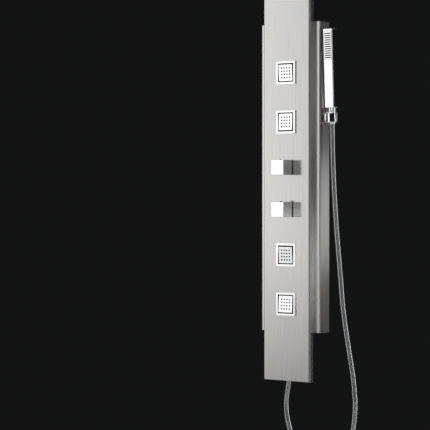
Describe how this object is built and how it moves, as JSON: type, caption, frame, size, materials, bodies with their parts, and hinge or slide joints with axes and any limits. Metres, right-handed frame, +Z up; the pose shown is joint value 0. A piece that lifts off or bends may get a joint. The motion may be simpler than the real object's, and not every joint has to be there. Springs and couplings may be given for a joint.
{
  "type": "shower column",
  "caption": "Wall shower column with a thermostatic mixer, diverter, swivelling body jets, overhead rain head on an arm, and a stick hand shower on a metal hose.",
  "frame": {"origin": "on the wall, in the middle of the four fixing holes of the two wall brackets", "axes": "+Z up, -Y out of the wall towards the user, +X to the user's right when facing the column"},
  "size_m": [0.296, 0.43, 1.603],
  "materials": {
    "brushed_steel": "vertical satin brushing, lightly mirrored",
    "polished_steel": "polished",
    "plain_steel": "mill finish",
    "chrome": "bright chrome plate",
    "hose_chrome": "chromed double-lock metal hose",
    "brass": "cast and turned",
    "copper": "drawn tube",
    "nozzle_rubber": "soft silicone",
    "inner_plastic": "moulded"
  },
  "bodies": {
    "column": {"rear_housing": "brushed_steel", "front_panel": "brushed_steel", "panel_trim": "polished_steel", "back_covers": "plain_steel", "wall_bracket_upper": "plain_steel", "wall_bracket_lower": "plain_steel", "hanger_rail": "plain_steel", "fixing_screws": "plain_steel", "jet_bezel_1": "chrome", "jet_bezel_2": "chrome", "jet_bezel_3": "chrome", "jet_bezel_4": "chrome", "jet_retainers": "inner_plastic", "diverter_body": "brass", "diverter_cartridge": "inner_plastic", "thermostat_body": "brass", "thermostat_cartridge": "inner_plastic", "collar_rings": "chrome", "temperature_index": "chrome", "inlet_nipples": "brass", "link_pipe": "copper", "riser_pipe": "copper", "jet_rail": "copper", "hand_pipe": "copper", "hose_outlet": "chrome", "hose_nut_lower": "chrome", "hose": "hose_chrome", "holder_bracket": "chrome", "holder_screw": "plain_steel", "arm_flange": "chrome", "rain_arm": "chrome", "arm_nut": "brass", "arm_elbow": "brass", "ball_nut": "chrome", "ball_seal": "nozzle_rubber"},
    "jet_1": {"jet_plate_1": "chrome", "jet_nozzles_1": "nozzle_rubber"},
    "jet_2": {"jet_plate_2": "chrome", "jet_nozzles_2": "nozzle_rubber"},
    "jet_3": {"jet_plate_3": "chrome", "jet_nozzles_3": "nozzle_rubber"},
    "jet_4": {"jet_plate_4": "chrome", "jet_nozzles_4": "nozzle_rubber"},
    "diverter_control": {"diverter_knob": "chrome", "diverter_spindle": "brass", "diverter_screw": "plain_steel"},
    "temperature_control": {"thermostat_knob": "chrome", "thermostat_spindle": "brass", "thermostat_screw": "plain_steel", "stop_spring": "plain_steel"},
    "stop": {"stop_button": "chrome"},
    "ball": {"head_ball": "chrome"},
    "rain_head": {"head_shell": "chrome", "head_plate": "polished_steel", "head_nozzles": "nozzle_rubber"},
    "handset": {"handset_body": "chrome", "handset_face": "chrome", "handset_nozzles": "nozzle_rubber", "hose_nut_upper": "chrome"}
  },
  "joints": [
    {"name": "jet_1_swivel", "type": "hinge", "parent": "column", "child": "jet_1", "pos_m": [0, -0.062, 0.28], "axis": [1, 0, 0], "range_deg": [-13, 7]},
    {"name": "jet_2_swivel", "type": "hinge", "parent": "column", "child": "jet_2", "pos_m": [0, -0.062, 0.148], "axis": [1, 0, 0], "range_deg": [-8, 12]},
    {"name": "jet_3_swivel", "type": "hinge", "parent": "column", "child": "jet_3", "pos_m": [0, -0.062, -0.208], "axis": [1, 0, 0], "range_deg": [-14, 6]},
    {"name": "jet_4_swivel", "type": "hinge", "parent": "column", "child": "jet_4", "pos_m": [0, -0.062, -0.34], "axis": [1, 0, 0], "range_deg": [-7, 13]},
    {"name": "diverter_turn", "type": "hinge", "parent": "column", "child": "diverter_control", "pos_m": [0, -0.1, 0.026], "axis": [0, -1, 0], "range_deg": [0, 270]},
    {"name": "temperature_turn", "type": "hinge", "parent": "column", "child": "temperature_control", "pos_m": [0, -0.1, -0.086], "axis": [0, -1, 0], "range_deg": [-150, 60]},
    {"name": "stop_press", "type": "slide", "parent": "temperature_control", "child": "stop", "axis": [0, 0, -1], "range_m": [0, 0.002], "stiffness_N_per_m": 800, "springref_m": -0.001, "deforming": ["stop_spring"]},
    {"name": "head_tilt", "type": "hinge", "parent": "column", "child": "ball", "pos_m": [0, -0.33, 0.686], "axis": [1, 0, 0], "range_deg": [-15, 15]},
    {"name": "head_turn", "type": "hinge", "parent": "ball", "child": "rain_head", "pos_m": [0, -0.33, 0.686], "axis": [0, 0, 1], "continuous": true},
    {"name": "handset_lift", "type": "slide", "parent": "column", "child": "handset", "axis": [0, -0.0454, 0.999], "range_m": [0, 0.12]}
  ]
}
